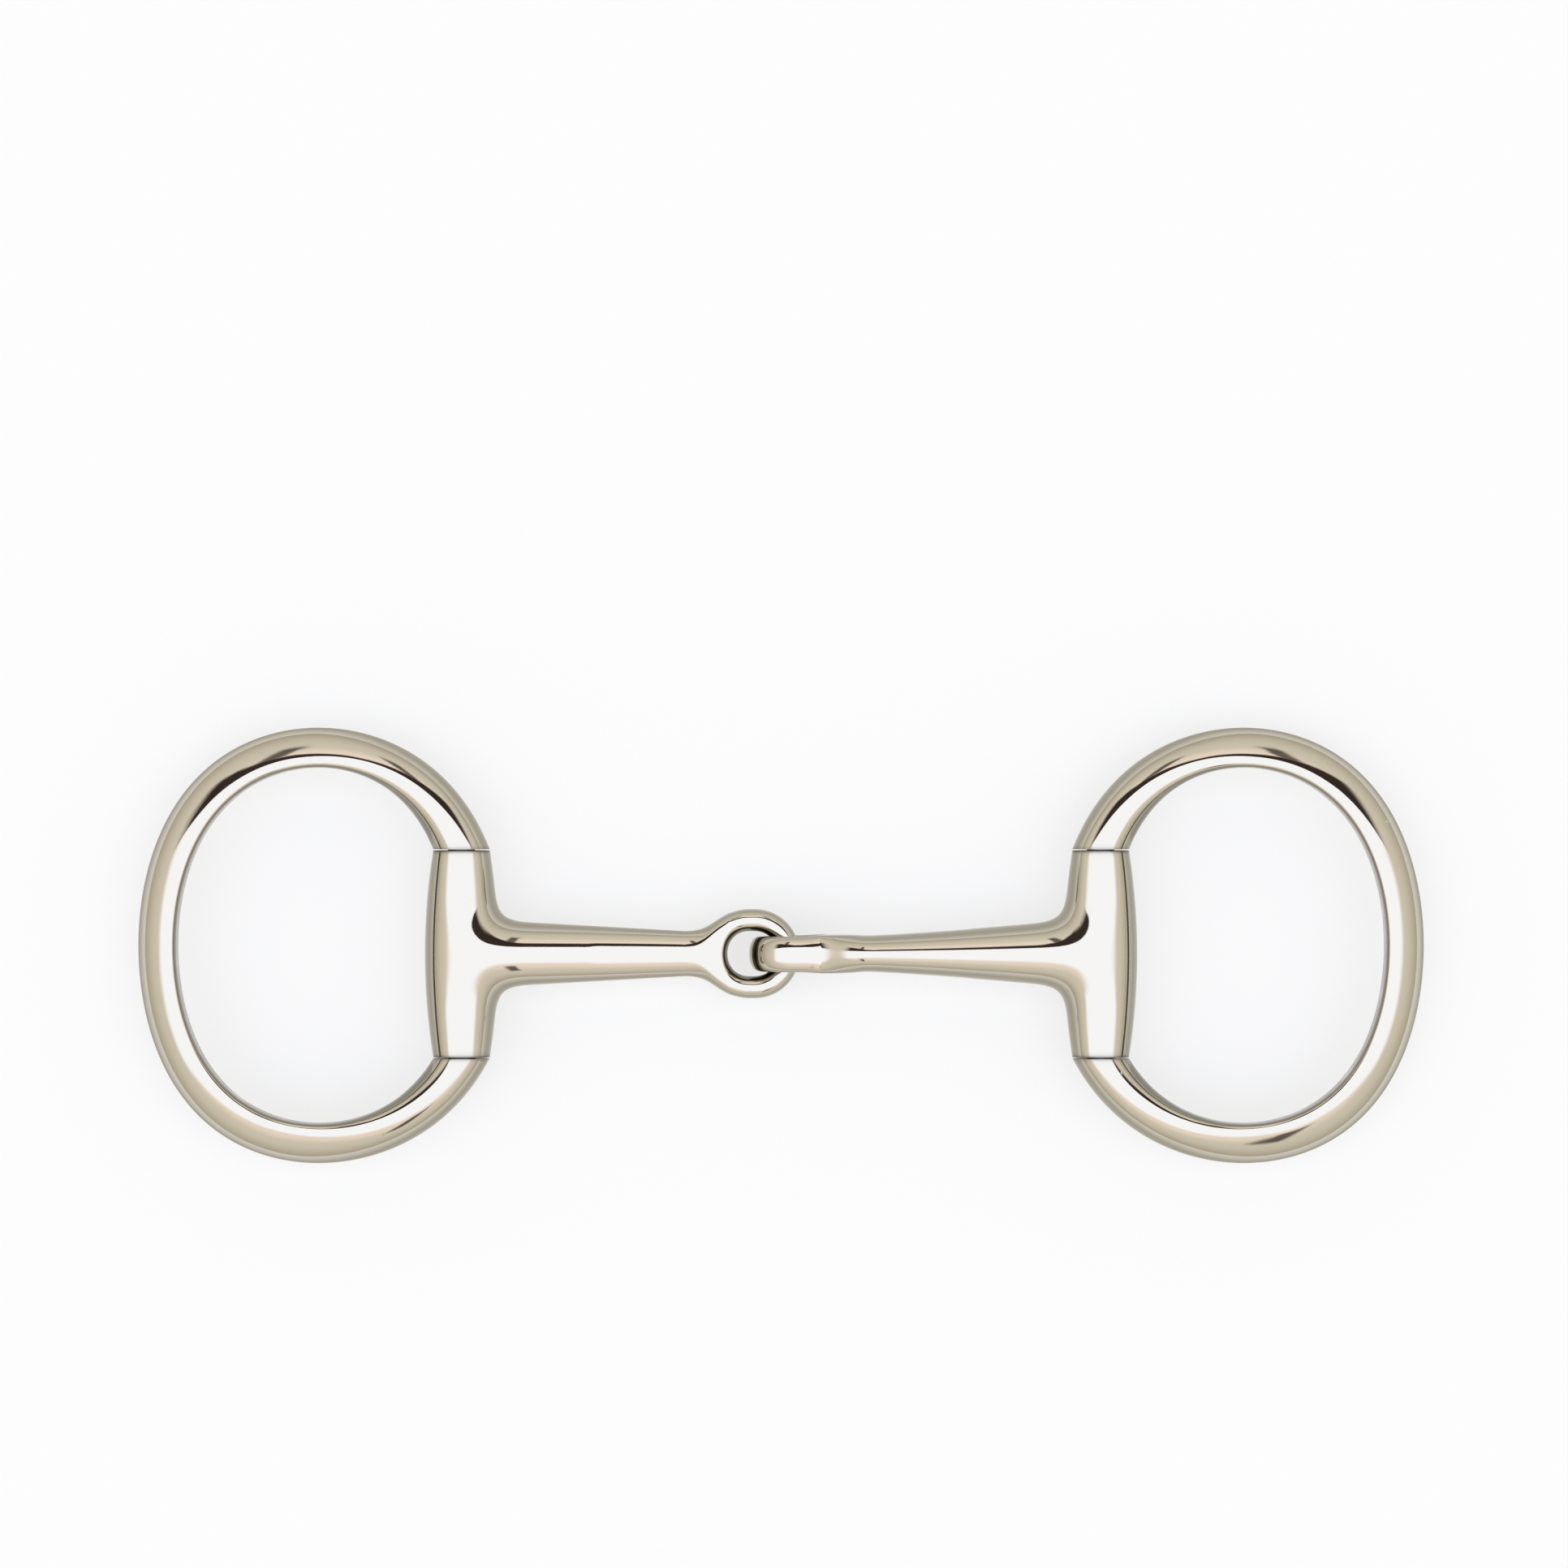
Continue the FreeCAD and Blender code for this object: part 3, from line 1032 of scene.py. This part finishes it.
@dataclass
class Studio:
    """The pale floor, the soft light overhead and the camera that looks straight down."""

    barrel: Barrel
    camera_x: float = 0.64
    camera_y: float = 35.2
    camera_height: float = 1400.0
    view_width: float = 342.0
    box_x_deg: float = 50.0
    box_y_deg: float = 24.0
    wobble_deg: float = 3.0
    wobble_scale: float = 7.0
    accent_strength: float = 0.88
    box_colour: Colour = (1.40, 1.48, 1.66)
    high_colour: Colour = (1.17, 1.04, 0.94)
    low_colour: Colour = (0.60, 0.56, 0.46)
    rim_colour: Colour = (0.05, 0.035, 0.03)
    mid_colour: Colour = (0.88, 0.84, 0.74)
    floor_colour: Colour = (0.95, 0.948, 0.945)
    floor_glow: float = 0.65

    def build(self) -> None:
        """Make the floor, the light and the camera."""
        self.floor()
        self.light()
        self.camera()
        bpy.context.scene.view_settings.view_transform = "Standard"

    def floor(self) -> None:
        """Lay the floor that the bit lies on."""
        mesh = bpy.data.meshes.new("floor")
        size = 6.0
        mesh.from_pydata([(-size, -size, 0), (size, -size, 0), (size, size, 0), (-size, size, 0)], [], [(0, 1, 2, 3)])
        material = bpy.data.materials.new("pale_floor")
        material.use_nodes = True
        tree = material.node_tree
        shader = tree.nodes["Principled BSDF"]
        glow = tree.nodes.new("ShaderNodeEmission")
        path = tree.nodes.new("ShaderNodeLightPath")
        rays = [Term(tree, path.outputs[f"Is {kind} Ray"]) for kind in ("Camera", "Glossy", "Transmission")]
        seen = rays[0] + rays[1] + rays[2]
        cover = tree.nodes.new("ShaderNodeMixShader")
        tree.links.new((seen * self.floor_glow).socket, cover.inputs[0])
        tree.links.new(shader.outputs[0], cover.inputs[1])
        tree.links.new(glow.outputs[0], cover.inputs[2])
        tree.links.new(cover.outputs[0], tree.nodes["Material Output"].inputs["Surface"])
        shader.inputs["Base Color"].default_value = (*self.floor_colour, 1.0)
        shader.inputs["Roughness"].default_value = 0.9
        shader.inputs["Specular IOR Level"].default_value = 0.1
        mesh.materials.append(material)
        new_piece("floor", mesh)

    def light(self) -> None:
        """Light the world: a white soft box overhead with a dark frame line, in a warm pale room."""
        world = bpy.data.worlds.new("room")
        bpy.context.scene.world = world
        world.use_nodes = True
        tree = world.node_tree
        direction = tree.nodes.new("ShaderNodeTexCoord").outputs["Generated"]
        split = tree.nodes.new("ShaderNodeSeparateXYZ")
        tree.links.new(direction, split.inputs[0])
        x, y, z = (Term(tree, split.outputs[k]) for k in range(3))
        wobble = PolishedMetal.noise(tree, direction, self.wobble_scale, 2.0) * (2 * self.wobble_deg) - self.wobble_deg
        right = x.maths("ARCTAN2", z) * DEGREES
        aside = (right + wobble).maths("ABSOLUTE")
        up = y.maths("ARCTAN2", z) * DEGREES + wobble * 0.4
        white, line = self.box(aside, up)
        dark = line.maths("MAXIMUM", self.accents(aside, right, up) * self.accent_strength)
        colour = mixed(tree, z.ramp(-0.05, 0.5), self.low_colour, self.mid_colour)
        colour = mixed(tree, z.ramp(0.48, 0.74), colour, self.high_colour)
        colour = mixed(tree, dark, colour, self.rim_colour)
        colour = mixed(tree, white, colour, self.box_colour)
        tree.links.new(colour, tree.nodes["Background"].inputs["Color"])

    def box(self, aside: Term, up: Term) -> tuple[Term, Term]:
        """Nodes for the soft box and for the dark frame line along its +Y edge.

        Args:
            aside: Degrees from straight up to either side.
            up: Degrees from straight up towards +Y.

        Returns:
            The box and the line, each 1 where it is and 0 elsewhere.
        """
        edge = self.box_y_deg
        across = aside.ramp(self.box_x_deg + 8, self.box_x_deg - 6)
        white = across * up.ramp(edge + 1, edge) * up.ramp(-edge - 15, -edge - 2)
        line = across * up.ramp(edge, edge + 1) * (up - aside * 0.3).ramp(edge + 13, edge + 9)
        return white, line

    @staticmethod
    def accents(aside: Term, right: Term, up: Term) -> Term:
        """Nodes for three dark things in the room: two beyond the +Y edge and one low at the right.

        Args:
            aside: Degrees from straight up to either side.
            right: Degrees from straight up towards +X.
            up: Degrees from straight up towards +Y.

        Returns:
            1 on them and 0 elsewhere.
        """
        down = up * -1.0
        near, far = (14, 18), (31, 24)
        high = aside.ramp(*near) * aside.ramp(*far) * up.ramp(36, 41) * up.ramp(62, 54)
        low = right.ramp(*near) * right.ramp(*far) * down.ramp(38, 44) * down.ramp(64, 56)
        return high.maths("MAXIMUM", low)

    def camera(self) -> None:
        """Hang the camera over the bit."""
        data = bpy.data.cameras.new("camera")
        data.lens = data.sensor_width * self.camera_height / self.view_width
        data.clip_end = 50.0
        camera = bpy.data.objects.new("camera", data)
        camera.location = (self.camera_x * MM, self.camera_y * MM, (self.camera_height + self.barrel.axis_z) * MM)
        bpy.context.scene.collection.objects.link(camera)
        bpy.context.scene.camera = camera


def main() -> None:
    """Build the bit and its studio."""
    logging.basicConfig(level=logging.INFO, format="%(name)s: %(message)s")
    barrel = Barrel()
    casting = PolishedMetal("polished_mouthpiece").build()
    ring_metal = PolishedMetal("polished_ring", wave_height_mm=0.016).build()
    pin_metal = PolishedMetal("ground_pin", tint=(0.58, 0.56, 0.52), roughness=0.22).build()
    halves = {
        Side.LEFT: MouthpieceHalf(barrel, 64.0, EyePlane.LYING),
        Side.RIGHT: MouthpieceHalf(barrel, 66.9, EyePlane.STANDING, neck_x=51.6, neck_flat=5.6, eye_blend=9.0),
    }
    pieces = []
    for side in Side:
        pieces.append(halves[side].build(side, casting))
        pieces.append(CheekRing(barrel).build(side, ring_metal))
        pieces.append(HingePin(barrel).build(side, pin_metal))
    for piece in pieces:
        LOG.info("%s: %d vertices, %d faces", piece.name, len(piece.data.vertices), len(piece.data.polygons))
    Studio(barrel).build()


if __name__ == "__main__":
    main()
